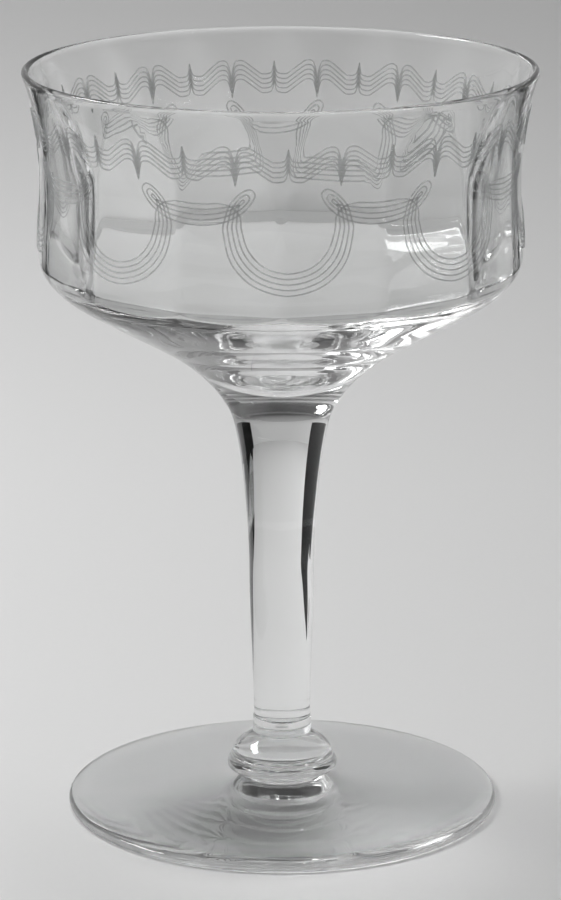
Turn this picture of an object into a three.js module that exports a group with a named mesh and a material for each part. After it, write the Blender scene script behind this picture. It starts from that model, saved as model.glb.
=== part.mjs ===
// Sherbet glass: a shallow bowl with optic panels on a drawn stem, a neck ring,
// a bell-shaped knop, a collar and a wide round foot.
// Millimetres, +Z up, origin on the axis at the surface that the foot stands on.
import * as THREE from 'three';

// Foot: a thin disc with a rounded edge, a flat ring to stand on and a low hub.
const FOOT_RADIUS = 36.7;
const FOOT_EDGE = 1.5;
const FOOT_CROWN = 3.5;
const FOOT_HEIGHT = 5.4;
const HUB_RADIUS = 6.2;
const HUB_FILLET = 5.0;
const REST_RING_WIDTH = 4.5;
const UNDERSIDE_HOLLOW = 0.8;

// Collar: the sharp ring of glass between the foot and the knop.
const COLLAR_RADIUS = 9.4;
const COLLAR_HEIGHT = 2.2;
const COLLAR_WIDEST = 1.1;

// Knop: the bell-shaped bulb above the collar, with a fine bead round its seat.
const KNOP_SEAT_RADIUS = 8.45;
const KNOP_BEAD_RADIUS = 8.75;
const KNOP_BEAD_HEIGHT = 0.8;
const KNOP_HEIGHT = 4.6;
const KNOP_SWELL = 0.35;
const KNOP_SWELL_HEIGHT = 1.7;

// Neck ring: the pair of thin beads where the stem meets the knop.
const NECK_RING_RADIUS = 4.97;
const NECK_RING_HEIGHT = 3.0;

// Stem: a solid drawn rod, slim above the ring and flaring into the bowl.
const STEM_FOOT_RADIUS = 4.83;
const STEM_WAIST_RADIUS = 5.5;
const STEM_TOP_RADIUS = 8.7;
const STEM_LOWER_LENGTH = 25.9;
const STEM_FLARE_LENGTH = 27.9;
const STEM_FLARE_RUN = 3.6;

// Bowl outside, from the stem up: flare, cone, rounded shoulder, waist and lip.
const FLARE_HEIGHT = 6.7;
const FLARE_CORNER_RADIUS = 12.0;
const FLARE_END_RADIUS = 21.6;
const CONE_HEIGHT = 16.1;
const WALL_HEIGHT = 35.2;
const SHOULDER_RADIUS = 40.2;
const SHOULDER_START_RADIUS = 33.4;
const SHOULDER_ROUND = 4.4;
const WAIST_RADIUS = 39.7;
const WAIST_DROP = 18.2;
const LIP_RADIUS = 42.5;
const LIP_FLARE_DROP = 8.6;

// Bowl inside: thicknesses, the tight inner shoulder, the rounded well and the optic panels.
const LIP_THICKNESS = 1.2;
const WALL_THICKNESS = 1.3;
const CONE_EDGE_THICKNESS = 2.0;
const CONE_BASE_THICKNESS = 4.8;
const INNER_SHOULDER_RADIUS = 37.0;
const INNER_SHOULDER_ROUND = 2.1;
const WELL_RADIUS = 9.0;
const WELL_CORNER_RADIUS = 3.0;
const PANEL_COUNT = 15;
const PANEL_DEPTH = 0.8;
const LIP_PANEL_DEPTH = 0.3;

// Fineness of the turned solids: facets round the axis, and steps along each curve.
const FACETS_PER_PANEL = 4;
const STEM_FACETS = 32;
const FOOT_FACETS = 48;
const LIP_STEPS = 3;
const TURNED_STEPS = 4;
const BOWL_STEPS = 5;
const STEM_STEPS = 8;

const CRYSTAL = { color: 0xe6eaea, roughness: 0.03, metalness: 0.0 };
const QUARTER_TURN = Math.PI / 2;

// Turns a half outline of radius and height, closed on the axis, round the Z axis.
function turn(outline, facets) {
  const geometry = new THREE.LatheGeometry(outline, facets);
  geometry.rotateX(QUARTER_TURN);
  return geometry;
}

function piece(name, geometry, height) {
  const mesh = new THREE.Mesh(geometry, new THREE.MeshStandardMaterial(CRYSTAL));
  mesh.name = name;
  mesh.position.z = height;
  return mesh;
}

function footGeometry() {
  const edge = FOOT_EDGE / 2;
  const restOuter = FOOT_RADIUS - edge;
  const restInner = restOuter - REST_RING_WIDTH;
  const filletRadius = HUB_RADIUS + HUB_FILLET;
  const slope = (FOOT_CROWN - FOOT_EDGE) / (restOuter - HUB_RADIUS);
  const filletHeight = FOOT_CROWN - slope * HUB_FILLET;
  const outline = new THREE.Path();
  outline.moveTo(0, UNDERSIDE_HOLLOW);
  outline.quadraticCurveTo(restInner / 2, UNDERSIDE_HOLLOW, restInner, 0);
  outline.lineTo(restOuter, 0);
  outline.absarc(restOuter, edge, edge, -QUARTER_TURN, QUARTER_TURN);
  outline.lineTo(filletRadius, filletHeight);
  outline.quadraticCurveTo(HUB_RADIUS, FOOT_CROWN, HUB_RADIUS, FOOT_HEIGHT);
  outline.lineTo(0, FOOT_HEIGHT);
  return turn(outline.getPoints(TURNED_STEPS), FOOT_FACETS);
}

function collarGeometry() {
  const outline = new THREE.Path();
  outline.moveTo(0, 0);
  outline.lineTo(HUB_RADIUS, 0);
  outline.quadraticCurveTo(COLLAR_RADIUS, 0, COLLAR_RADIUS, COLLAR_WIDEST);
  outline.quadraticCurveTo(COLLAR_RADIUS, COLLAR_HEIGHT, KNOP_SEAT_RADIUS, COLLAR_HEIGHT);
  outline.lineTo(0, COLLAR_HEIGHT);
  return turn(outline.getPoints(TURNED_STEPS), STEM_FACETS);
}

function knopGeometry() {
  const middle = KNOP_BEAD_HEIGHT / 2;
  const bead = KNOP_BEAD_RADIUS - KNOP_SEAT_RADIUS;
  const outline = new THREE.Path();
  outline.moveTo(0, 0);
  outline.lineTo(KNOP_SEAT_RADIUS, 0);
  outline.absellipse(KNOP_SEAT_RADIUS, middle, bead, middle, -QUARTER_TURN, QUARTER_TURN);
  outline.bezierCurveTo(
    KNOP_SEAT_RADIUS + KNOP_SWELL, KNOP_BEAD_HEIGHT + KNOP_SWELL_HEIGHT,
    NECK_RING_RADIUS, KNOP_HEIGHT, NECK_RING_RADIUS, KNOP_HEIGHT,
  );
  outline.lineTo(0, KNOP_HEIGHT);
  return turn(outline.getPoints(TURNED_STEPS), STEM_FACETS);
}

function neckRingGeometry() {
  const middle = NECK_RING_HEIGHT / 4;
  const bead = NECK_RING_RADIUS - STEM_FOOT_RADIUS;
  const outline = new THREE.Path();
  outline.moveTo(0, 0);
  outline.lineTo(STEM_FOOT_RADIUS, 0);
  outline.absellipse(STEM_FOOT_RADIUS, middle, bead, middle, -QUARTER_TURN, QUARTER_TURN);
  outline.absellipse(STEM_FOOT_RADIUS, 3 * middle, bead, middle, -QUARTER_TURN, QUARTER_TURN);
  outline.lineTo(0, NECK_RING_HEIGHT);
  return turn(outline.getPoints(TURNED_STEPS), STEM_FACETS);
}

function stemGeometry() {
  const length = STEM_LOWER_LENGTH + STEM_FLARE_LENGTH;
  const lowerThird = STEM_LOWER_LENGTH / 3;
  const flareThird = STEM_FLARE_LENGTH / 3;
  const flareSlope = (FLARE_CORNER_RADIUS - STEM_TOP_RADIUS) / FLARE_HEIGHT;
  const outline = new THREE.Path();
  outline.moveTo(0, 0);
  outline.lineTo(STEM_FOOT_RADIUS, 0);
  outline.bezierCurveTo(
    STEM_FOOT_RADIUS, lowerThird, STEM_WAIST_RADIUS, 2 * lowerThird, STEM_WAIST_RADIUS, STEM_LOWER_LENGTH,
  );
  outline.bezierCurveTo(
    STEM_WAIST_RADIUS, STEM_LOWER_LENGTH + flareThird,
    STEM_TOP_RADIUS - flareSlope * STEM_FLARE_RUN, length - STEM_FLARE_RUN,
    STEM_TOP_RADIUS, length,
  );
  outline.lineTo(0, length);
  return turn(outline.getPoints(STEM_STEPS), STEM_FACETS);
}

// Heights in the bowl, above its joint with the stem.
const shoulderCorner = FLARE_HEIGHT + CONE_HEIGHT;
const lipHeight = shoulderCorner + WALL_HEIGHT;
const waistHeight = lipHeight - WAIST_DROP;
const wallFoot = shoulderCorner + SHOULDER_ROUND;
const innerWallFoot = shoulderCorner + INNER_SHOULDER_ROUND;

// Height of the cone's straight side at a radius.
function coneHeight(radius) {
  const slope = CONE_HEIGHT / (SHOULDER_RADIUS - FLARE_CORNER_RADIUS);
  return FLARE_HEIGHT + slope * (radius - FLARE_CORNER_RADIUS);
}

// Height of the inside of the cone at a radius, where the glass grows thicker towards the stem.
function innerConeHeight(radius) {
  const outward = (radius - WELL_RADIUS) / (INNER_SHOULDER_RADIUS - WELL_RADIUS);
  return coneHeight(radius) + THREE.MathUtils.lerp(CONE_BASE_THICKNESS, CONE_EDGE_THICKNESS, outward);
}

function bowlOutside() {
  const swell = (waistHeight - wallFoot) / 2;
  const side = new THREE.Path();
  side.moveTo(0, 0);
  side.lineTo(STEM_TOP_RADIUS, 0);
  side.quadraticCurveTo(FLARE_CORNER_RADIUS, FLARE_HEIGHT, FLARE_END_RADIUS, coneHeight(FLARE_END_RADIUS));
  side.lineTo(SHOULDER_START_RADIUS, coneHeight(SHOULDER_START_RADIUS));
  side.quadraticCurveTo(SHOULDER_RADIUS, shoulderCorner, SHOULDER_RADIUS, wallFoot);
  side.bezierCurveTo(
    SHOULDER_RADIUS, wallFoot + swell, WAIST_RADIUS, waistHeight - swell, WAIST_RADIUS, waistHeight,
  );
  side.quadraticCurveTo(WAIST_RADIUS, lipHeight - LIP_FLARE_DROP, LIP_RADIUS, lipHeight - LIP_THICKNESS / 2);
  return side.getPoints(BOWL_STEPS);
}

function bowlInside() {
  const shoulder = SHOULDER_RADIUS - WALL_THICKNESS;
  const waist = WAIST_RADIUS - WALL_THICKNESS;
  const lip = LIP_RADIUS - LIP_THICKNESS;
  const swell = (waistHeight - innerWallFoot) / 2;
  const well = innerConeHeight(WELL_CORNER_RADIUS);
  const side = new THREE.Path();
  side.moveTo(lip, lipHeight - LIP_THICKNESS / 2);
  side.quadraticCurveTo(waist, lipHeight - LIP_FLARE_DROP, waist, waistHeight);
  side.bezierCurveTo(waist, waistHeight - swell, shoulder, innerWallFoot + swell, shoulder, innerWallFoot);
  side.quadraticCurveTo(
    shoulder, innerConeHeight(shoulder), INNER_SHOULDER_RADIUS, innerConeHeight(INNER_SHOULDER_RADIUS),
  );
  side.lineTo(WELL_RADIUS, innerConeHeight(WELL_RADIUS));
  side.quadraticCurveTo(WELL_CORNER_RADIUS, well, 0, well);
  return side.getPoints(BOWL_STEPS);
}

// The half-round lip between the outside and the inside of the wall.
function bowlLip() {
  const half = LIP_THICKNESS / 2;
  const arc = new THREE.Path();
  arc.absarc(LIP_RADIUS - half, lipHeight - half, half, 0, Math.PI);
  return arc.getPoints(LIP_STEPS).slice(1, -1);
}

// How far the flat optic panels stand in from the round wall at a height.
function panelDepth(height) {
  const up = THREE.MathUtils.clamp((height - waistHeight) / WAIST_DROP, 0, 1);
  return THREE.MathUtils.lerp(PANEL_DEPTH, LIP_PANEL_DEPTH, up);
}

// Flattens the inner wall into optic panels, with a ridge between two of them at the front (-Y).
// They run out where the cone is narrower than they are.
function pressPanels(geometry, outline, firstInside) {
  const place = geometry.attributes.position;
  const panelTurn = (2 * Math.PI) / PANEL_COUNT;
  const shoulder = SHOULDER_RADIUS - WALL_THICKNESS;
  for (let i = 0; i < place.count; i += 1) {
    const row = i % outline.length;
    if (row < firstInside || outline[row].x === 0) continue;
    const { x: radius, y: height } = outline[row];
    const wall = height > innerWallFoot ? radius : shoulder;
    const angle = Math.atan2(place.getX(i), -place.getY(i));
    const offCentre = angle - panelTurn * (Math.floor(angle / panelTurn) + 0.5);
    const pressed = Math.min(radius, (wall - panelDepth(height)) / Math.cos(offCentre));
    place.setX(i, pressed * Math.sin(angle));
    place.setY(i, -pressed * Math.cos(angle));
  }
}

function bowlGeometry() {
  const outside = bowlOutside();
  const outline = [...outside, ...bowlLip(), ...bowlInside()];
  const geometry = turn(outline, PANEL_COUNT * FACETS_PER_PANEL);
  pressPanels(geometry, outline, outside.length);
  return geometry;
}

// The pieces stand on one another, each on the flat top of the one below.
const collarBase = FOOT_HEIGHT;
const knopBase = collarBase + COLLAR_HEIGHT;
const ringBase = knopBase + KNOP_HEIGHT;
const stemBase = ringBase + NECK_RING_HEIGHT;
const bowlBase = stemBase + STEM_LOWER_LENGTH + STEM_FLARE_LENGTH;

const sherbetGlass = new THREE.Group();
sherbetGlass.add(
  piece('foot', footGeometry(), 0),
  piece('collar', collarGeometry(), collarBase),
  piece('knop', knopGeometry(), knopBase),
  piece('neck_ring', neckRingGeometry(), ringBase),
  piece('stem', stemGeometry(), stemBase),
  piece('bowl', bowlGeometry(), bowlBase),
);

export default sherbetGlass;
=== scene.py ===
"""A clear sherbet glass: six turned pieces of glass, and two etched bands round the bowl.

Lengths are written in millimetres and built in metres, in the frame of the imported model: +Z up,
the glass on the Z axis, and the surface that it stands on at zero. Angles round the bowl start at
its front, which faces -Y, and grow to the right.
"""

import logging
import math
from collections.abc import Sequence
from dataclasses import dataclass
from enum import Enum

import bpy
from mathutils import Matrix, Vector


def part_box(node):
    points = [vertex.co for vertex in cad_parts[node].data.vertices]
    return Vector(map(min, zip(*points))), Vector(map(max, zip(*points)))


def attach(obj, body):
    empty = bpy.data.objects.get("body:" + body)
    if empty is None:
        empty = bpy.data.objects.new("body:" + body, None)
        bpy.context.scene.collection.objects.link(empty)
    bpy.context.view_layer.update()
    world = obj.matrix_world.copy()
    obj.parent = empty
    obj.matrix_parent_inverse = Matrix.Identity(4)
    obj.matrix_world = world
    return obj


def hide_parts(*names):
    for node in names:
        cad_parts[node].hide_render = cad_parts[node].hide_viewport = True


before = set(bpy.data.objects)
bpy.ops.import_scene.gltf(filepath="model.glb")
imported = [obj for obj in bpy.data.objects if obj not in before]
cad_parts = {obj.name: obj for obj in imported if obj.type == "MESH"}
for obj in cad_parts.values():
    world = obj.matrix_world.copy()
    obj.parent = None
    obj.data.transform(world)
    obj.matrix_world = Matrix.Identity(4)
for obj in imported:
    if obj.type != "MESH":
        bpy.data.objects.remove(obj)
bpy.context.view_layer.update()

MM = 0.001
FULL_TURN = 2.0 * math.pi
HALF_TURN = math.pi
QUARTER_TURN = math.pi / 2.0
MERGE_DISTANCE = 0.001 * MM
LEVEL_NORMAL = 0.999

Point = tuple[float, float]
Corner = tuple[float, float, float]
Board = tuple[Corner, Corner, Corner, Corner]
log = logging.getLogger("sherbet_glass")


class Slot(Enum):
    """Material slots of the record."""

    GLASS = "clear_glass"
    ETCHED = "etched_line"


class Seam(Enum):
    """Ends of a piece where it is fused to the next one."""

    BELOW = 0
    ABOVE = 1


def lerp(start: float, end: float, share: float) -> float:
    """The value at a share of the way from start to end."""
    return start + (end - start) * share


def blend_points(start: Point, end: Point, share: float) -> Point:
    """The point at a share of the way from start to end."""
    return lerp(start[0], end[0], share), lerp(start[1], end[1], share)


def bezier(controls: Sequence[Point], steps: int) -> list[Point]:
    """Walks along a Bezier curve of any degree.

    Args:
        controls: The start, the control points and the end.
        steps: Number of straight steps that draw the curve.

    Returns:
        The points after the start, up to the end.
    """
    walked = []
    for step in range(1, steps + 1):
        row = list(controls)
        while len(row) > 1:
            row = [blend_points(a, b, step / steps) for a, b in zip(row, row[1:])]
        walked.append(row[0])
    return walked


def arc(centre: Point, radii: Point, start: float, end: float, steps: int) -> list[Point]:
    """Walks along part of an ellipse.

    Args:
        centre: Centre of the ellipse.
        radii: Its half width and half height.
        start: Angle of the first point, from the right and upwards.
        end: Angle of the last point.
        steps: Number of straight steps that draw the arc.

    Returns:
        The points after the first, up to the last.
    """
    angles = [lerp(start, end, step / steps) for step in range(1, steps + 1)]
    return [(centre[0] + radii[0] * math.cos(a), centre[1] + radii[1] * math.sin(a)) for a in angles]


def smooth_line(points: Sequence[Point], steps: int, mirrored: bool) -> list[Point]:
    """Draws a Catmull-Rom line through points.

    Args:
        points: The points that the line passes through.
        steps: Number of straight steps between two of them.
        mirrored: Whether the line runs on as its mirror image at each end, without a corner.

    Returns:
        The points of the line, with both ends.
    """
    first, last = points[0], points[-1]
    if mirrored:
        first = (2.0 * first[0] - points[1][0], points[1][1])
        last = (2.0 * last[0] - points[-2][0], points[-2][1])
    padded = [first, *points, last]
    line = [points[0]]
    for before, start, end, after in zip(padded, padded[1:], padded[2:], padded[3:]):
        leave = (start[0] + (end[0] - before[0]) / 6.0, start[1] + (end[1] - before[1]) / 6.0)
        arrive = (end[0] - (after[0] - start[0]) / 6.0, end[1] - (after[1] - start[1]) / 6.0)
        line += bezier((start, leave, arrive, end), steps)
    return line


def radius_at(outline: Sequence[Point], height: float) -> float:
    """Reads the radius of an outline at a height.

    Args:
        outline: Points of radius and height, with the heights rising.
        height: The height to read at.

    Returns:
        The radius on the straight step that holds the height.
    """
    for low, high in zip(outline, outline[1:]):
        if high[1] >= height and high[1] > low[1]:
            return lerp(low[0], high[0], (height - low[1]) / (high[1] - low[1]))
    return outline[-1][0]


def turn_solid(name: str, outline: Sequence[Point], base: float, facets: int) -> bpy.types.Object:
    """Draws a half outline out of one vertex and spins it round the Z axis.

    Args:
        name: Name of the new object.
        outline: Points of radius and height, from the axis and back to it.
        base: Height of the outline's zero, in metres.
        facets: Number of facets round the axis.

    Returns:
        The closed solid, with its place in its mesh.
    """
    bpy.ops.object.select_all(action="DESELECT")
    bpy.ops.mesh.primitive_plane_add(size=MM)
    solid = bpy.context.active_object
    solid.name = solid.data.name = name
    bpy.ops.object.mode_set(mode="EDIT")
    bpy.ops.mesh.select_all(action="SELECT")
    bpy.ops.mesh.merge(type="CENTER")
    bpy.ops.transform.translate(value=(0.0, -outline[0][0] * MM, base + outline[0][1] * MM))
    for before, after in zip(outline, outline[1:]):
        step = (0.0, (before[0] - after[0]) * MM, (after[1] - before[1]) * MM)
        bpy.ops.mesh.extrude_vertices_move(TRANSFORM_OT_translate={"value": step})
    bpy.ops.mesh.select_all(action="SELECT")
    bpy.ops.mesh.spin(steps=facets, angle=FULL_TURN, center=(0.0, 0.0, 0.0), axis=(0.0, 0.0, 1.0))
    bpy.ops.mesh.select_all(action="SELECT")
    bpy.ops.mesh.remove_doubles(threshold=MERGE_DISTANCE)
    bpy.ops.mesh.normals_make_consistent(inside=False)
    bpy.ops.object.mode_set(mode="OBJECT")
    return solid


def shade_smooth(solid: bpy.types.Object, sharp_angle: float) -> None:
    """Shades an object smooth, apart from the edges that are sharper than an angle.

    Args:
        solid: The object.
        sharp_angle: The angle in degrees.
    """
    bpy.ops.object.select_all(action="DESELECT")
    solid.select_set(True)
    bpy.context.view_layer.objects.active = solid
    bpy.ops.object.shade_smooth_by_angle(angle=math.radians(sharp_angle))


class Shading:
    """A node material, and the short calls that fill it."""

    def __init__(self, name: str) -> None:
        """Starts an empty node material.

        Args:
            name: Name of the material.
        """
        self.material = bpy.data.materials.new(name)
        self.material.use_nodes = True
        self.tree = self.material.node_tree
        self.tree.nodes.clear()
        self.output = self.add("ShaderNodeOutputMaterial")

    def add(self, kind: str, **settings: object) -> bpy.types.Node:
        """Adds a node.

        Args:
            kind: Blender's name of the node type.
            **settings: Properties of the node.

        Returns:
            The new node.
        """
        node = self.tree.nodes.new(kind)
        for setting, value in settings.items():
            setattr(node, setting, value)
        return node

    def join(self, start: bpy.types.NodeSocket, end: bpy.types.NodeSocket) -> None:
        """Links an output to an input."""
        self.tree.links.new(start, end)

    def object_place(self) -> bpy.types.NodeSocket:
        """Adds the object's own coordinates and gives their output."""
        return self.add("ShaderNodeTexCoord").outputs["Object"]

    def product(self, first: bpy.types.NodeSocket, second: bpy.types.NodeSocket) -> bpy.types.NodeSocket:
        """Multiplies two outputs."""
        node = self.add("ShaderNodeMath", operation="MULTIPLY")
        self.join(first, node.inputs[0])
        self.join(second, node.inputs[1])
        return node.outputs["Value"]

    def between(self, value: bpy.types.NodeSocket, low: float, high: float) -> bpy.types.NodeSocket:
        """Gives 1 where an output lies between two limits, and 0 elsewhere."""
        node = self.add("ShaderNodeMath", operation="COMPARE")
        node.inputs[1].default_value = (high + low) / 2.0
        node.inputs[2].default_value = (high - low) / 2.0
        self.join(value, node.inputs[0])
        return node.outputs["Value"]

    def ramp(self, value: bpy.types.NodeSocket, start: Point, end: Point, **settings: object
             ) -> bpy.types.NodeSocket:
        """Reads an output on a ramp that is level beyond its ends.

        Args:
            value: The output to read.
            start: A value, and the result there.
            end: Another value, and the result there.
            **settings: Properties of the node.

        Returns:
            The result.
        """
        node = self.add("ShaderNodeMapRange", **settings)
        for socket, number in zip(node.inputs[1:5], (start[0], end[0], start[1], end[1])):
            socket.default_value = number
        self.join(value, node.inputs["Value"])
        return node.outputs["Result"]

    def clear_but(self, seen: bpy.types.NodeSocket, tone: float) -> None:
        """Makes the surface clear, and matt where it is seen.

        Args:
            seen: Output that is 1 where the surface is seen.
            tone: Grey of the matt surface.
        """
        matt = self.add("ShaderNodeBsdfDiffuse")
        matt.inputs["Color"].default_value = (tone, tone, tone, 1.0)
        clear = self.add("ShaderNodeBsdfTransparent")
        mix = self.add("ShaderNodeMixShader")
        self.join(seen, mix.inputs[0])
        self.join(clear.outputs["BSDF"], mix.inputs[1])
        self.join(matt.outputs["BSDF"], mix.inputs[2])
        self.join(mix.outputs["Shader"], self.output.inputs["Surface"])


@dataclass(frozen=True)
class FirePolish:
    """The surface of glass that was worked hot: slow ripples and a film from handling."""

    name: str = "fire_polish"
    ripple_detail: float = 1.0
    film_detail: float = 4.0
    wiped: Point = (0.45, 0.8)

    def group(self) -> bpy.types.NodeTree:
        """Makes the group that turns a place on the surface into a ripple height and a roughness."""
        group = bpy.data.node_groups.new(self.name, "ShaderNodeTree")
        for name, kind in (("Place", "NodeSocketVector"), ("Ripple Scale", "NodeSocketFloat"),
                           ("Film Scale", "NodeSocketFloat"), ("Film", "NodeSocketFloat")):
            group.interface.new_socket(name, in_out="INPUT", socket_type=kind)
        for name in ("Ripple", "Roughness"):
            group.interface.new_socket(name, in_out="OUTPUT", socket_type="NodeSocketFloat")
        nodes, links = group.nodes, group.links
        entry, leave = nodes.new("NodeGroupInput"), nodes.new("NodeGroupOutput")
        ripple = nodes.new("ShaderNodeTexNoise")
        ripple.inputs["Detail"].default_value = self.ripple_detail
        film = nodes.new("ShaderNodeTexNoise")
        film.inputs["Detail"].default_value = self.film_detail
        wiped = nodes.new("ShaderNodeMapRange")
        wiped.inputs["From Min"].default_value, wiped.inputs["From Max"].default_value = self.wiped
        links.new(entry.outputs["Place"], ripple.inputs["Vector"])
        links.new(entry.outputs["Ripple Scale"], ripple.inputs["Scale"])
        links.new(entry.outputs["Place"], film.inputs["Vector"])
        links.new(entry.outputs["Film Scale"], film.inputs["Scale"])
        links.new(film.outputs["Fac"], wiped.inputs["Value"])
        links.new(entry.outputs["Film"], wiped.inputs["To Max"])
        links.new(ripple.outputs["Fac"], leave.inputs["Ripple"])
        links.new(wiped.outputs["Result"], leave.inputs["Roughness"])
        return group


@dataclass(frozen=True)
class ClearGlass:
    """Clear glass with the faint ripples and the handling film of an old piece."""

    name: str = "clear_glass"
    tint: tuple[float, float, float] = (0.985, 0.99, 0.988)
    refraction: float = 1.5
    ripple_scale: float = 90.0
    ripple_strength: float = 0.05
    film_scale: float = 60.0
    film: float = 0.03

    def material(self, polish: bpy.types.NodeTree) -> bpy.types.Material:
        """Makes the material.

        Args:
            polish: The group that gives ripples and film.

        Returns:
            Glass that bends what the eye sees and the light of the lamps.
        """
        shading = Shading(self.name)
        surface = shading.add("ShaderNodeGroup", node_tree=polish)
        surface.inputs["Ripple Scale"].default_value = self.ripple_scale
        surface.inputs["Film Scale"].default_value = self.film_scale
        surface.inputs["Film"].default_value = self.film
        shading.join(shading.object_place(), surface.inputs["Place"])
        bump = shading.add("ShaderNodeBump")
        bump.inputs["Strength"].default_value = self.ripple_strength
        bump.inputs["Distance"].default_value = MM
        shading.join(surface.outputs["Ripple"], bump.inputs["Height"])
        glass = shading.add("ShaderNodeBsdfPrincipled")
        glass.inputs["Base Color"].default_value = (*self.tint, 1.0)
        glass.inputs["IOR"].default_value = self.refraction
        glass.inputs["Transmission Weight"].default_value = 1.0
        shading.join(surface.outputs["Roughness"], glass.inputs["Roughness"])
        shading.join(bump.outputs["Normal"], glass.inputs["Normal"])
        shading.join(glass.outputs["BSDF"], shading.output.inputs["Surface"])
        return shading.material


@dataclass(frozen=True)
class FusedSeam:
    """The face inside a fused joint, which lets all light through."""

    name: str = "fused_seam"

    def material(self) -> bpy.types.Material:
        """Makes the see-through material."""
        shading = Shading(self.name)
        clear = shading.add("ShaderNodeBsdfTransparent")
        shading.join(clear.outputs["BSDF"], shading.output.inputs["Surface"])
        return shading.material


@dataclass(frozen=True)
class EtchedFrost:
    """The pale frost of a line that a needle and acid have cut into glass."""

    name: str = "etched_line"
    frost: tuple[float, float, float] = (0.56, 0.57, 0.57)
    bare: tuple[float, float, float] = (0.40, 0.41, 0.41)
    grain_scale: float = 2600.0
    cover: float = 0.38
    roughness: float = 0.75

    def material(self) -> bpy.types.Material:
        """Makes the frost, with the grain that the acid leaves."""
        shading = Shading(self.name)
        grain = shading.add("ShaderNodeTexNoise")
        grain.inputs["Scale"].default_value = self.grain_scale
        shading.join(shading.object_place(), grain.inputs["Vector"])
        tone = shading.add("ShaderNodeMix", data_type="RGBA")
        tone.inputs[6].default_value = (*self.bare, 1.0)
        tone.inputs[7].default_value = (*self.frost, 1.0)
        shading.join(grain.outputs["Fac"], tone.inputs[0])
        frost = shading.add("ShaderNodeBsdfPrincipled")
        frost.inputs["Roughness"].default_value = self.roughness
        frost.inputs["Alpha"].default_value = self.cover
        shading.join(tone.outputs[2], frost.inputs["Base Color"])
        shading.join(frost.outputs["BSDF"], shading.output.inputs["Surface"])
        return shading.material


@dataclass(frozen=True)
class MattPaper:
    """Pale matt paper with a faint grain, painted shade that greys it towards the back and the right, and a
    painted shadow under the front of the foot.
    """

    name: str = "matt_paper"
    light: tuple[float, float, float] = (0.66, 0.66, 0.66)
    dark: tuple[float, float, float] = (0.645, 0.645, 0.645)
    grain_scale: float = 900.0
    # Painted shade: the paper's colour darkens towards the back and towards the right.
    painted_falloff_back: tuple[Point, Point] = ((194.0, 0.965), (912.0, 0.81))
    painted_falloff_across: float = 0.0007
    side_reach: float = 150.0
    # Painted shadow: a soft dark spot in the paper's colour under the front of the foot.
    painted_shadow_centre: Point = (-5.0, -17.0)
    painted_shadow_radius: float = 27.0
    painted_shadow_factor: float = 0.3
    roughness: float = 0.9
    gloss: float = 0.1

    def material(self) -> bpy.types.Material:
        """Makes the paper, with its painted shade and its painted shadow."""
        shading = Shading(self.name)
        place = shading.add("ShaderNodeSeparateXYZ")
        shading.join(shading.object_place(), place.inputs["Vector"])
        # Painted shade: the colour is darker towards the back, and towards the right.
        (near, near_shade), (far, far_shade) = self.painted_falloff_back
        back = shading.ramp(place.outputs["Y"], (near * MM, near_shade), (far * MM, far_shade))
        reach, change = self.side_reach * MM, self.side_reach * self.painted_falloff_across
        side = shading.ramp(place.outputs["X"], (-reach, 1.0 + change), (reach, 1.0 - change))
        # Painted shadow of the glass: the paper's colour darkens in a soft round spot under the front of the
        # foot.
        shadow_distance = shading.add("ShaderNodeVectorMath", operation="DISTANCE")
        shadow_distance.inputs[1].default_value = Vector((*self.painted_shadow_centre, 0.0)) * MM
        shading.join(shading.object_place(), shadow_distance.inputs[0])
        shadow_spot = shading.ramp(shadow_distance.outputs["Value"], (0.0, self.painted_shadow_factor), (self.painted_shadow_radius * MM, 1.0),
                            interpolation_type="SMOOTHSTEP")
        # The painted shade and the painted shadow together scale the paper's tone.
        shade = shading.product(shading.product(back, side), shadow_spot)
        grain = shading.add("ShaderNodeTexNoise")
        grain.inputs["Scale"].default_value = self.grain_scale
        shading.join(shading.object_place(), grain.inputs["Vector"])
        tone = shading.add("ShaderNodeMix", data_type="RGBA")
        tone.inputs[6].default_value = (*self.dark, 1.0)
        tone.inputs[7].default_value = (*self.light, 1.0)
        shading.join(grain.outputs["Fac"], tone.inputs[0])
        shaded = shading.add("ShaderNodeVectorMath", operation="SCALE")
        shading.join(tone.outputs[2], shaded.inputs[0])
        shading.join(shade, shaded.inputs["Scale"])
        paper = shading.add("ShaderNodeBsdfPrincipled")
        paper.inputs["Roughness"].default_value = self.roughness
        paper.inputs["Specular IOR Level"].default_value = self.gloss
        shading.join(shaded.outputs["Vector"], paper.inputs["Base Color"])
        shading.join(paper.outputs["BSDF"], shading.output.inputs["Surface"])
        return shading.material


@dataclass(frozen=True)
class BlackBoard:
    """A dark board that only the solid glass shows."""

    name: str = "black_board"
    tone: float = 0.01
    glass_faces: Point = (0.5, 3.5)
    reach: Point = (70.0, 2000.0)

    def material(self) -> bpy.types.Material:
        """Makes the board, clear out of its reach and to light that has crossed both walls of the bowl."""
        shading = Shading(self.name)
        path = shading.add("ShaderNodeLightPath")
        few = shading.between(path.outputs["Transmission Depth"], *self.glass_faces)
        near, far = self.reach
        within = shading.between(path.outputs["Ray Length"], near * MM, far * MM)
        shading.clear_but(shading.product(few, within), self.tone)
        return shading.material


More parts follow.
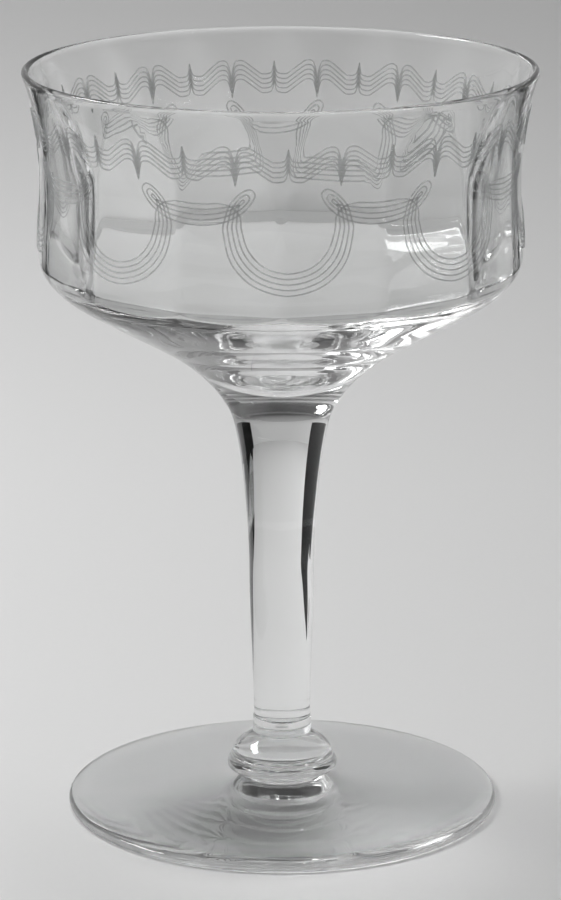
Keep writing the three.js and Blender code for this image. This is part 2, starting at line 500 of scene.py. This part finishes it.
@dataclass(frozen=True)
class MirroredCard:
    """A dark card that the glass only mirrors, which can fade in towards the front."""

    name: str = "mirrored_card"
    tone: float = 0.01
    turns: Point = (0.5, 1000.0)
    fade: Point | None = None

    def material(self) -> bpy.types.Material:
        """Makes the card, clear to light that no face of the glass has turned back."""
        shading = Shading(self.name)
        path = shading.add("ShaderNodeLightPath")
        seen = shading.between(path.outputs["Glossy Depth"], *self.turns)
        if self.fade:
            place = shading.add("ShaderNodeSeparateXYZ")
            shading.join(shading.object_place(), place.inputs["Vector"])
            start, end = self.fade
            depth = shading.ramp(place.outputs["Y"], (start * MM, 0.0), (end * MM, 1.0))
            seen = shading.product(seen, depth)
        shading.clear_but(seen, self.tone)
        return shading.material


class TurnedGlass:
    """A piece of glass turned round the axis of the object."""

    node: str
    facets: int
    seams: dict[Seam, float]
    sharp_angle: float = 40.0

    def outline(self) -> list[Point]:
        """Draws the half outline above the piece's base, from the axis and back to it."""
        raise NotImplementedError

    def build(self) -> bpy.types.Object:
        """Turns the outline at the height of its node.

        Returns:
            The turned solid, which stands for the node and rides with it.
        """
        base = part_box(self.node)[0].z
        solid = turn_solid(f"{self.node}_glass", self.outline(), base, self.facets)
        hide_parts(self.node)
        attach(solid, "root")
        return solid

    def dress(self, solid: bpy.types.Object, glass: bpy.types.Material, seam: bpy.types.Material) -> None:
        """Gives the solid its glass, and the faces inside fused joints their seam.

        Args:
            solid: The turned solid.
            glass: Material of the surface.
            seam: Material of the hidden faces.
        """
        shade_smooth(solid, self.sharp_angle)
        solid.data.materials.append(glass)
        solid.data.materials.append(seam)
        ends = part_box(self.node)
        for end, radius in self.seams.items():
            height = ends[end.value].z
            for face in solid.data.polygons:
                level = abs(face.center.z - height) < MERGE_DISTANCE and abs(face.normal.z) > LEVEL_NORMAL
                if level and face.center.xy.length < radius * MM:
                    face.material_index = 1


@dataclass
class Foot(TurnedGlass):
    """The wide thin disc that the glass stands on, with a low hub in its middle."""

    node: str = "foot"
    facets: int = 192
    radius: float = 36.7
    edge: float = 1.5
    crown: float = 3.5
    height: float = 5.4
    hub_radius: float = 6.2
    hub_fillet: float = 5.0
    rest_ring_width: float = 4.5
    hollow: float = 0.8

    @property
    def seams(self) -> dict[Seam, float]:
        """The collar is fused to the hub."""
        return {Seam.ABOVE: self.hub_radius}

    def outline(self) -> list[Point]:
        """Draws the hollow underside, the standing ring, the round edge and the sloping top."""
        half = self.edge / 2.0
        ring_outer = self.radius - half
        ring_inner = ring_outer - self.rest_ring_width
        fillet_radius = self.hub_radius + self.hub_fillet
        slope = (self.crown - self.edge) / (ring_outer - self.hub_radius)
        fillet_height = self.crown - slope * self.hub_fillet
        return [
            (0.0, self.hollow),
            *bezier(((0.0, self.hollow), (ring_inner / 2.0, self.hollow), (ring_inner, 0.0)), steps=14),
            (ring_outer, 0.0),
            *arc((ring_outer, half), (half, half), -QUARTER_TURN, QUARTER_TURN, steps=12),
            (fillet_radius, fillet_height),
            *bezier(((fillet_radius, fillet_height), (self.hub_radius, self.crown),
                     (self.hub_radius, self.height)), steps=14),
            (0.0, self.height),
        ]


@dataclass
class Collar(TurnedGlass):
    """The ring of glass between the foot and the knop."""

    node: str = "collar"
    facets: int = 128
    radius: float = 9.4
    height: float = 2.2
    widest: float = 1.1
    hub_radius: float = 6.2
    seat_radius: float = 8.45

    @property
    def seams(self) -> dict[Seam, float]:
        """The hub is fused to it below, and the knop above."""
        return {Seam.BELOW: self.hub_radius, Seam.ABOVE: self.seat_radius}

    def outline(self) -> list[Point]:
        """Draws the rounded side of the ring."""
        under = ((self.hub_radius, 0.0), (self.radius, 0.0), (self.radius, self.widest))
        over = ((self.radius, self.widest), (self.radius, self.height), (self.seat_radius, self.height))
        return [(0.0, 0.0), under[0], *bezier(under, steps=12), *bezier(over, steps=10), (0.0, self.height)]


@dataclass
class Knop(TurnedGlass):
    """The bell-shaped bulb above the collar, with a fine bead round its seat."""

    node: str = "knop"
    facets: int = 128
    seat_radius: float = 8.45
    bead_radius: float = 8.75
    bead_height: float = 0.8
    height: float = 4.6
    swell: float = 0.35
    swell_height: float = 1.7
    ring_radius: float = 4.97
    neck_radius: float = 4.83

    @property
    def seams(self) -> dict[Seam, float]:
        """The collar is fused to it below, and the neck ring above."""
        return {Seam.BELOW: self.seat_radius, Seam.ABOVE: self.neck_radius}

    def outline(self) -> list[Point]:
        """Draws the bead, the dome and the flat top under the neck ring."""
        half = self.bead_height / 2.0
        bead = (self.bead_radius - self.seat_radius, half)
        top = (self.ring_radius, self.height)
        dome = ((self.seat_radius, self.bead_height),
                (self.seat_radius + self.swell, self.bead_height + self.swell_height), top, top)
        return [
            (0.0, 0.0),
            (self.seat_radius, 0.0),
            *arc((self.seat_radius, half), bead, -QUARTER_TURN, QUARTER_TURN, steps=10),
            *bezier(dome, steps=20),
            (self.neck_radius, self.height),
            (0.0, self.height),
        ]


@dataclass
class NeckRing(TurnedGlass):
    """The pair of thin beads where the stem meets the knop."""

    node: str = "neck_ring"
    facets: int = 128
    radius: float = 4.97
    height: float = 3.0
    neck_radius: float = 4.83

    @property
    def seams(self) -> dict[Seam, float]:
        """The knop is fused to it below, and the stem above."""
        return {Seam.BELOW: self.neck_radius, Seam.ABOVE: self.neck_radius}

    def outline(self) -> list[Point]:
        """Draws the two half-round beads."""
        half = self.height / 4.0
        bead = (self.radius - self.neck_radius, half)
        return [
            (0.0, 0.0),
            (self.neck_radius, 0.0),
            *arc((self.neck_radius, half), bead, -QUARTER_TURN, QUARTER_TURN, steps=12),
            *arc((self.neck_radius, 3.0 * half), bead, -QUARTER_TURN, QUARTER_TURN, steps=12),
            (0.0, self.height),
        ]


@dataclass
class Stem(TurnedGlass):
    """The drawn rod between the neck ring and the bowl."""

    node: str = "stem"
    facets: int = 128
    foot_radius: float = 4.83
    waist_radius: float = 5.5
    top_radius: float = 8.7
    lower_length: float = 25.9
    flare_length: float = 27.9
    flare_run: float = 3.6
    bowl_flare_height: float = 6.7
    bowl_flare_radius: float = 12.0

    @property
    def seams(self) -> dict[Seam, float]:
        """The neck ring is fused to it below, and the bowl above."""
        return {Seam.BELOW: self.foot_radius, Seam.ABOVE: self.top_radius}

    def outline(self) -> list[Point]:
        """Draws the slim lower rod and the flare that runs on into the bowl."""
        length = self.lower_length + self.flare_length
        slope = (self.bowl_flare_radius - self.top_radius) / self.bowl_flare_height
        lower = ((self.foot_radius, 0.0), (self.foot_radius, self.lower_length / 3.0),
                 (self.waist_radius, 2.0 * self.lower_length / 3.0), (self.waist_radius, self.lower_length))
        flare = ((self.waist_radius, self.lower_length),
                 (self.waist_radius, self.lower_length + self.flare_length / 3.0),
                 (self.top_radius - slope * self.flare_run, length - self.flare_run),
                 (self.top_radius, length))
        return [(0.0, 0.0), lower[0], *bezier(lower, steps=20), *bezier(flare, steps=30), (0.0, length)]


@dataclass
class Bowl(TurnedGlass):
    """The wide bowl, with flat optic panels pressed into the inside of its wall."""

    node: str = "bowl"
    facets: int = 240
    joint_radius: float = 8.7
    flare_height: float = 6.7
    flare_corner_radius: float = 12.0
    flare_end_radius: float = 21.6
    cone_height: float = 16.1
    wall_height: float = 35.2
    shoulder_radius: float = 40.2
    shoulder_start_radius: float = 33.4
    shoulder_round: float = 4.4
    waist_radius: float = 39.7
    waist_drop: float = 18.2
    lip_radius: float = 42.5
    lip_flare_drop: float = 8.6
    lip_thickness: float = 1.2
    wall_thickness: float = 1.3
    cone_edge_thickness: float = 2.0
    cone_base_thickness: float = 4.8
    inner_shoulder_radius: float = 37.0
    inner_shoulder_round: float = 2.1
    well_radius: float = 9.0
    well_corner_radius: float = 3.0
    panel_count: int = 15
    panel_depth: float = 0.8
    panel_fade: float = 14.0

    @property
    def seams(self) -> dict[Seam, float]:
        """The stem is fused to it below."""
        return {Seam.BELOW: self.joint_radius}

    @property
    def shoulder_corner(self) -> float:
        """Height where the cone would meet the wall if the shoulder weren't round."""
        return self.flare_height + self.cone_height

    @property
    def height(self) -> float:
        """Height of the lip above the joint."""
        return self.shoulder_corner + self.wall_height

    @property
    def wall_foot(self) -> float:
        """Height where the round shoulder ends and the wall begins."""
        return self.shoulder_corner + self.shoulder_round

    @property
    def inner_wall_foot(self) -> float:
        """Height where the tight shoulder of the inside ends."""
        return self.shoulder_corner + self.inner_shoulder_round

    @property
    def waist_height(self) -> float:
        """Height of the narrowest part of the wall."""
        return self.height - self.waist_drop

    def cone(self, radius: float) -> float:
        """Height of the cone's straight side at a radius."""
        slope = self.cone_height / (self.shoulder_radius - self.flare_corner_radius)
        return self.flare_height + slope * (radius - self.flare_corner_radius)

    def inner_cone(self, radius: float) -> float:
        """Height of the inside of the cone at a radius, where the glass grows thicker towards the stem."""
        outward = (radius - self.well_radius) / (self.inner_shoulder_radius - self.well_radius)
        return self.cone(radius) + lerp(self.cone_base_thickness, self.cone_edge_thickness, outward)

    def outside(self) -> list[Point]:
        """Draws the outside from the stem joint up to the lip."""
        swell = (self.waist_height - self.wall_foot) / 2.0
        edge = self.height - self.lip_thickness / 2.0
        flare = ((self.joint_radius, 0.0), (self.flare_corner_radius, self.flare_height),
                 (self.flare_end_radius, self.cone(self.flare_end_radius)))
        shoulder = ((self.shoulder_start_radius, self.cone(self.shoulder_start_radius)),
                    (self.shoulder_radius, self.shoulder_corner), (self.shoulder_radius, self.wall_foot))
        wall = (shoulder[-1], (self.shoulder_radius, self.wall_foot + swell),
                (self.waist_radius, self.waist_height - swell), (self.waist_radius, self.waist_height))
        lip = (wall[-1], (self.waist_radius, self.height - self.lip_flare_drop), (self.lip_radius, edge))
        return [flare[0], *bezier(flare, steps=18), shoulder[0], *bezier(shoulder, steps=14),
                *bezier(wall, steps=12), *bezier(lip, steps=16)]

    def inside(self) -> list[Point]:
        """Draws the inside from the lip down to the middle of the well."""
        swell = (self.waist_height - self.inner_wall_foot) / 2.0
        edge = self.height - self.lip_thickness / 2.0
        shoulder_radius = self.shoulder_radius - self.wall_thickness
        waist_radius = self.waist_radius - self.wall_thickness
        well = self.inner_cone(self.well_corner_radius)
        lip = ((self.lip_radius - self.lip_thickness, edge), (waist_radius, self.height - self.lip_flare_drop),
               (waist_radius, self.waist_height))
        wall = (lip[-1], (waist_radius, self.waist_height - swell),
                (shoulder_radius, self.inner_wall_foot + swell), (shoulder_radius, self.inner_wall_foot))
        shoulder = (wall[-1], (shoulder_radius, self.inner_cone(shoulder_radius)),
                    (self.inner_shoulder_radius, self.inner_cone(self.inner_shoulder_radius)))
        hollow = ((self.well_radius, self.inner_cone(self.well_radius)), (self.well_corner_radius, well),
                  (0.0, well))
        return [lip[0], *bezier(lip, steps=16), *bezier(wall, steps=14), *bezier(shoulder, steps=16),
                hollow[0], *bezier(hollow, steps=14)]

    def outline(self) -> list[Point]:
        """Draws the outside, the half-round lip and the inside."""
        half = self.lip_thickness / 2.0
        centre = (self.lip_radius - half, self.height - half)
        return [(0.0, 0.0), *self.outside(), *arc(centre, (half, half), 0.0, HALF_TURN, steps=10)[:-1],
                *self.inside()]

    def panel_press(self, angle: float, radius: float, height: float) -> float:
        """Works out how far the flat panels stand in from the round inside.

        Args:
            angle: Angle from the front.
            radius: Radius of the round inside there.
            height: Height above the joint.

        Returns:
            The depth that is pressed in, zero where the panels have run out.
        """
        up = max(0.0, height - self.waist_height)
        fade = min(1.0, (self.height - self.lip_thickness / 2.0 - height) / self.panel_fade)
        depth = self.panel_depth * (fade if up else 1.0)
        wall = radius if height > self.inner_wall_foot else self.shoulder_radius - self.wall_thickness
        panel_turn = FULL_TURN / self.panel_count
        off_centre = angle - panel_turn * (math.floor(angle / panel_turn) + 0.5)
        return max(0.0, radius - (wall - depth) / math.cos(off_centre))

    def press_panels(self, solid: bpy.types.Object) -> None:
        """Presses the optic panels into the inside of the wall.

        Args:
            solid: The turned bowl.
        """
        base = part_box(self.node)[0].z
        outside = self.outside()
        pressed = solid.vertex_groups.new(name="optic_panels")
        for vertex in solid.data.vertices:
            radius, height = vertex.co.xy.length / MM, (vertex.co.z - base) / MM
            inside = radius < radius_at(outside, height) - self.lip_thickness / 2.0
            if inside and height < self.height - self.lip_thickness / 2.0:
                angle = math.atan2(vertex.co.x, -vertex.co.y)
                depth = self.panel_press(angle, radius, height)
                pressed.add([vertex.index], depth / self.panel_depth, "REPLACE")
        bpy.context.view_layer.objects.active = solid
        press = solid.modifiers.new("optic_panels", "DISPLACE")
        press.vertex_group = pressed.name
        press.mid_level = 0.0
        press.strength = self.panel_depth * MM
        bpy.ops.object.modifier_apply(modifier=press.name)
        solid.vertex_groups.clear()

    def build(self) -> bpy.types.Object:
        """Turns the bowl and presses its panels."""
        solid = super().build()
        self.press_panels(solid)
        return solid


@dataclass
class EtchedBand:
    """Fine parallel lines etched round the outside of the bowl."""

    bowl: Bowl
    name: str
    repeats: int
    front_turn: float
    round_ends: bool
    feed_slip: float = 0.05
    line_count: int = 5
    line_radius: float = 0.13
    steps: int = 5

    def half_repeat(self, line: int) -> list[Point]:
        """Draws half a repeat of one line, as degrees from its start and height above the table."""
        raise NotImplementedError

    def build(self) -> bpy.types.Object:
        """Draws the lines as fine closed beads on the surface of the bowl.

        Returns:
            One mesh with all the lines of the band, which rides with the bowl.
        """
        bpy.ops.object.select_all(action="DESELECT")
        bpy.ops.curve.primitive_bezier_circle_add(radius=self.bowl.waist_radius * MM)
        band = bpy.context.active_object
        band.name = self.name
        lines = band.data
        lines.splines.clear()
        lines.dimensions = "3D"
        lines.bevel_depth = self.line_radius * MM
        lines.bevel_resolution = 0
        for line in range(self.line_count):
            places = self.places(line)
            spline = lines.splines.new("POLY")
            spline.points.add(len(places) - 1)
            for point, place in zip(spline.points, places):
                point.co = (*place, 1.0)
            spline.use_cyclic_u = True
        bpy.ops.object.convert(target="MESH")
        band.data.name = self.name
        bpy.ops.object.shade_smooth()
        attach(band, "root")
        return band

    def places(self, line: int) -> list[Vector]:
        """Lays one line on the outside of the bowl.

        Args:
            line: Number of the line.

        Returns:
            The places of its points, once round the bowl.
        """
        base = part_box(self.bowl.node)[0].z
        outside = self.bowl.outside()
        repeat_turn = 360.0 / self.repeats
        half = smooth_line(self.half_repeat(line), self.steps, self.round_ends)
        whole = half + [(repeat_turn - turn, height) for turn, height in reversed(half[1:-1])]
        laid = []
        for repeat in range(self.repeats):
            for turn, height in whole:
                angle = math.radians(self.front_turn + repeat * repeat_turn + turn)
                angle += self.feed_slip * math.sin(angle)
                reach = (radius_at(outside, height - base / MM) + self.line_radius) * MM
                laid.append(Vector((reach * math.sin(angle), -reach * math.cos(angle), height * MM)))
        return laid

    def dress(self, band: bpy.types.Object, frost: bpy.types.Material) -> None:
        """Gives the lines their frost."""
        band.data.materials.clear()
        band.data.materials.append(frost)


@dataclass
class WaveBand(EtchedBand):
    """The upper band: waves that break into a thin point at each crest and each trough."""

    name: str = "etched_wave_band"
    repeats: int = 16
    front_turn: float = 1.6
    round_ends: bool = False
    line_drop: float = 0.8
    half_wave: tuple[Point, ...] = (
        (0.0, 121.0), (0.25, 120.0), (0.7, 119.15), (1.6, 118.85), (2.8, 118.8), (3.8, 119.05),
        (7.2, 120.75), (8.3, 121.15), (9.4, 121.2), (10.2, 120.85), (10.7, 119.9), (11.0, 119.0),
        (11.25, 118.1),
    )

    def half_repeat(self, line: int) -> list[Point]:
        """Draws a line from the point in a trough to the point in the next crest."""
        return [(turn, height - line * self.line_drop) for turn, height in self.half_wave]


@dataclass
class HorseshoeBand(EtchedBand):
    """The lower band: nested horseshoes with a small loop at each end, joined by slack swags."""

    name: str = "etched_horseshoe_band"
    repeats: int = 9
    front_turn: float = 1.6
    round_ends: bool = True
    outer_line: tuple[Point, ...] = (
        (0.0, 97.6), (5.2, 99.1), (8.6, 102.7), (9.8, 107.4), (9.55, 109.5), (8.8, 111.8),
        (7.3, 113.6), (5.8, 114.4), (4.95, 113.7), (5.2, 112.7), (6.1, 111.4), (7.3, 110.3),
        (9.3, 109.2), (11.6, 108.6), (13.96, 108.4),
    )
    inner_line: tuple[Point, ...] = (
        (0.0, 101.1), (3.6, 102.1), (6.0, 104.7), (7.0, 107.9), (7.1, 109.2), (7.2, 110.0),
        (7.5, 110.6), (7.8, 111.0), (8.1, 111.3), (8.5, 111.55), (9.0, 111.75), (9.7, 111.9),
        (10.6, 112.0), (12.0, 111.9), (13.96, 111.8),
    )

    def half_repeat(self, line: int) -> list[Point]:
        """Draws a line from the bottom of a horseshoe to the middle of the swag beside it."""
        share = line / (self.line_count - 1)
        turn_per_mm = 180.0 / self.repeats / self.outer_line[-1][0]
        drawn = [blend_points(a, b, share) for a, b in zip(self.outer_line, self.inner_line)]
        return [(along * turn_per_mm, height) for along, height in drawn]


@dataclass(frozen=True)
class SoftLamp:
    """A soft rectangular lamp that looks at the middle of the glass."""

    name: str
    toward: Corner
    distance: float
    size: Point
    power: float

    def hang(self, aim: Corner) -> None:
        """Hangs the lamp.

        Args:
            aim: The point that the lamp looks at.
        """
        lamp = bpy.data.lights.new(self.name, "AREA")
        lamp.shape = "RECTANGLE"
        lamp.size, lamp.size_y = self.size[0] * MM, self.size[1] * MM
        lamp.energy = self.power
        place = bpy.data.objects.new(self.name, lamp)
        bpy.context.scene.collection.objects.link(place)
        direction = Vector(self.toward).normalized()
        place.location = Vector(aim) * MM + direction * self.distance * MM
        place.rotation_euler = direction.to_track_quat("Z", "Y").to_euler()


@dataclass(frozen=True)
class Room:
    """The room round the glass: soft light from overhead, and the walls and ceiling that the glass shows."""

    backdrop_tone: float = 0.42
    soft_light: float = 0.35
    skylight: float = 11.0
    skylight_toward: Corner = (-0.05, 0.28, 0.96)
    skylight_spread: float = 60.0
    wall_tone: float = 0.24
    back_rise: float = 0.18
    ceiling_fall: float = 1.3
    side_fall: float = 0.05
    window_wall: float = 0.45
    ceiling_tone: float = 0.05

    def light(self) -> None:
        """Makes the world, where matt paper meets the light and the glass shows the walls."""
        room = bpy.data.worlds.new("room")
        room.use_nodes = True
        room.cycles.sampling_method = "NONE"
        nodes, links = room.node_tree.nodes, room.node_tree.links

        def work(operation: str, first: bpy.types.NodeSocket | float, second: bpy.types.NodeSocket | float
                 ) -> bpy.types.NodeSocket:
            """Works out a value from two others."""
            node = nodes.new("ShaderNodeMath")
            node.operation = operation
            for socket, value in zip(node.inputs, (first, second)):
                if isinstance(value, float):
                    socket.default_value = value
                else:
                    links.new(value, socket)
            return node.outputs["Value"]

        toward = nodes.new("ShaderNodeTexCoord").outputs["Generated"]
        parts = nodes.new("ShaderNodeSeparateXYZ")
        links.new(toward, parts.inputs["Vector"])
        facing = nodes.new("ShaderNodeVectorMath")
        facing.operation = "DOT_PRODUCT"
        facing.inputs[1].default_value = Vector(self.skylight_toward).normalized()
        links.new(toward, facing.inputs[0])
        lobe = work("POWER", work("MAXIMUM", facing.outputs["Value"], 0.0), self.skylight_spread)
        light = work("ADD", work("MULTIPLY", lobe, self.skylight), self.soft_light)
        high = work("POWER", work("MAXIMUM", parts.outputs["Z"], 0.0), 2.0)
        rise = work("MULTIPLY", high, -self.ceiling_fall)
        across = work("ADD", work("MULTIPLY", parts.outputs["X"], -self.side_fall),
                      work("MULTIPLY", parts.outputs["Y"], self.back_rise))
        left = work("POWER", work("MAXIMUM", work("MULTIPLY", parts.outputs["X"], -1.0), 0.0), 2.0)
        window = work("ADD", work("MULTIPLY", left, self.window_wall), self.wall_tone)
        wall = work("MAXIMUM", work("ADD", work("ADD", rise, across), window), self.ceiling_tone)
        path = nodes.new("ShaderNodeLightPath")
        shown = nodes.new("ShaderNodeMix")
        links.new(path.outputs["Is Camera Ray"], shown.inputs["Factor"])
        links.new(wall, shown.inputs["A"])
        shown.inputs["B"].default_value = self.backdrop_tone
        tone = nodes.new("ShaderNodeMix")
        links.new(path.outputs["Diffuse Depth"], tone.inputs["Factor"])
        links.new(shown.outputs["Result"], tone.inputs["A"])
        links.new(light, tone.inputs["B"])
        links.new(tone.outputs["Result"], nodes["Background"].inputs["Color"])
        bpy.context.scene.world = room


@dataclass(frozen=True)
class BoardSet:
    """Dark boards of one finish, just out of the picture, for the edges of the glass."""

    finish: BlackBoard | MirroredCard
    boards: dict[str, Board]

    def set_up(self) -> None:
        """Sets up the boards, out of the camera's sight and without a shadow."""
        material = self.finish.material()
        for name, corners in self.boards.items():
            bpy.ops.object.select_all(action="DESELECT")
            bpy.ops.mesh.primitive_circle_add(vertices=len(corners), radius=MM, fill_type="NGON")
            board = bpy.context.active_object
            board.name = board.data.name = name
            for vertex, corner in zip(board.data.vertices, corners):
                vertex.co = Vector(corner) * MM
            board.data.materials.append(material)
            board.visible_camera = False
            board.visible_diffuse = False
            board.visible_shadow = False


@dataclass
class Studio:
    """The paper under the glass, the dark boards round it, the window lamp, the room and the camera."""

    paper_radius: float = 1100.0
    paper_facets: int = 96
    paper_gap: float = 0.03
    lens: float = 156.45
    camera_place: Corner = (-0.15, -635.3, 234.2)
    camera_tilt: float = 74.82
    camera_roll: float = -0.15
    camera_start: float = 10.0
    glass_bounces: int = 40
    clear_bounces: int = 64
    aim: Corner = (0.0, 0.0, 60.0)
    lamp: SoftLamp = SoftLamp("window_lamp", (-0.69, 0.18, 0.70), 750.0, (400.0, 150.0), 2.8)
    room: Room = Room()
    board_sets: tuple[BoardSet, ...] = (
        BoardSet(BlackBoard(), {
            "right_board": ((53.0, -20.0, 1.0), (300.0, -20.0, 1.0),
                            (800.0, 500.0, 1.0), (478.0, 830.0, 1.0)),
            "far_board": ((448.0, 830.0, 0.0), (850.0, 450.0, 0.0),
                          (850.0, 450.0, 250.0), (448.0, 830.0, 250.0)),
        }),
        BoardSet(BlackBoard("near_board", reach=(88.0, 98.9)), {
            "left_board": ((-70.4, 70.4, 0.0), (-42.0, 90.2, 12.0),
                           (-42.0, 90.2, 85.0), (-70.4, 70.4, 85.0)),
            "side_board": ((-69.2, 70.4, 0.0), (-83.2, 53.0, 40.0),
                           (-83.2, 53.0, 85.0), (-69.2, 70.4, 85.0)),
        }),
        BoardSet(MirroredCard(), {
            "left_card": ((-210.0, 70.0, 1.0), (-140.0, 320.0, 1.0),
                          (-500.0, 700.0, 1.0), (-500.0, 70.0, 1.0)),
            "right_card": ((210.0, 70.0, 1.0), (500.0, 70.0, 1.0),
                           (500.0, 700.0, 1.0), (140.0, 320.0, 1.0)),
            "side_card": ((-70.0, -60.0, 1.0), (-85.0, 42.0, 1.0),
                          (-260.0, 128.0, 1.0), (-260.0, -90.0, 1.0)),
        }),
        BoardSet(MirroredCard("fading_card", fade=(-48.0, -250.0)), {
            "front_card": ((-400.0, -48.0, 1.0), (-400.0, -600.0, 1.0),
                           (400.0, -600.0, 1.0), (400.0, -48.0, 1.0)),
        }),
    )

    def lay_paper(self, paper: bpy.types.Material) -> None:
        """Lays the paper that the glass stands on, as a part of the stage.

        Args:
            paper: Material of the paper.
        """
        bpy.ops.object.select_all(action="DESELECT")
        bpy.ops.mesh.primitive_circle_add(vertices=self.paper_facets, radius=self.paper_radius * MM,
                                          fill_type="NGON")
        sheet = bpy.context.active_object
        sheet.name = sheet.data.name = "paper"
        bpy.ops.object.mode_set(mode="EDIT")
        bpy.ops.mesh.select_all(action="SELECT")
        bpy.ops.transform.translate(value=(0.0, 0.0, -self.paper_gap * MM))
        bpy.ops.mesh.inset(thickness=self.paper_radius * MM / 2.0)
        bpy.ops.object.mode_set(mode="OBJECT")
        sheet.data.materials.append(paper)

    def place_camera(self) -> None:
        """Sets the camera to the photograph's angle, in front of the glass and a little above it."""
        view = bpy.data.cameras.new("camera")
        view.lens = self.lens
        view.clip_start = self.camera_start * MM
        camera = bpy.data.objects.new("camera", view)
        bpy.context.scene.collection.objects.link(camera)
        tilt = Matrix.Rotation(math.radians(self.camera_tilt), 4, "X")
        roll = Matrix.Rotation(math.radians(self.camera_roll), 4, "Z")
        camera.location = Vector(self.camera_place) * MM
        camera.rotation_euler = (tilt @ roll).to_euler()
        bpy.context.scene.camera = camera

    def set_light_paths(self) -> None:
        """Lets light cross every layer of glass, and keeps colours as they are written."""
        scene = bpy.context.scene
        scene.view_settings.view_transform = "Standard"
        scene.cycles.max_bounces = self.glass_bounces
        scene.cycles.glossy_bounces = self.glass_bounces
        scene.cycles.transmission_bounces = self.glass_bounces
        scene.cycles.transparent_max_bounces = self.clear_bounces
        scene.cycles.caustics_reflective = True
        scene.cycles.caustics_refractive = True
        scene.cycles.blur_glossy = 0.0


def main() -> None:
    """Builds the studio, the glass and its etching."""
    logging.basicConfig(level=logging.INFO, format="%(name)s: %(message)s")
    studio = Studio()
    studio.place_camera()
    studio.lamp.hang(studio.aim)
    studio.room.light()
    studio.set_light_paths()
    studio.lay_paper(MattPaper().material())
    for board_set in studio.board_sets:
        board_set.set_up()
    glass = ClearGlass().material(FirePolish().group())
    seam = FusedSeam().material()
    bowl = Bowl()
    for part in (Foot(), Collar(), Knop(), NeckRing(), Stem(), bowl):
        solid = part.build()
        part.dress(solid, glass, seam)
        log.info("%s: %d faces", solid.name, len(solid.data.polygons))
    frost = EtchedFrost().material()
    for band in (WaveBand(bowl), HorseshoeBand(bowl)):
        lines = band.build()
        band.dress(lines, frost)
        log.info("%s: %d faces", lines.name, len(lines.data.polygons))


if __name__ == "__main__":
    main()
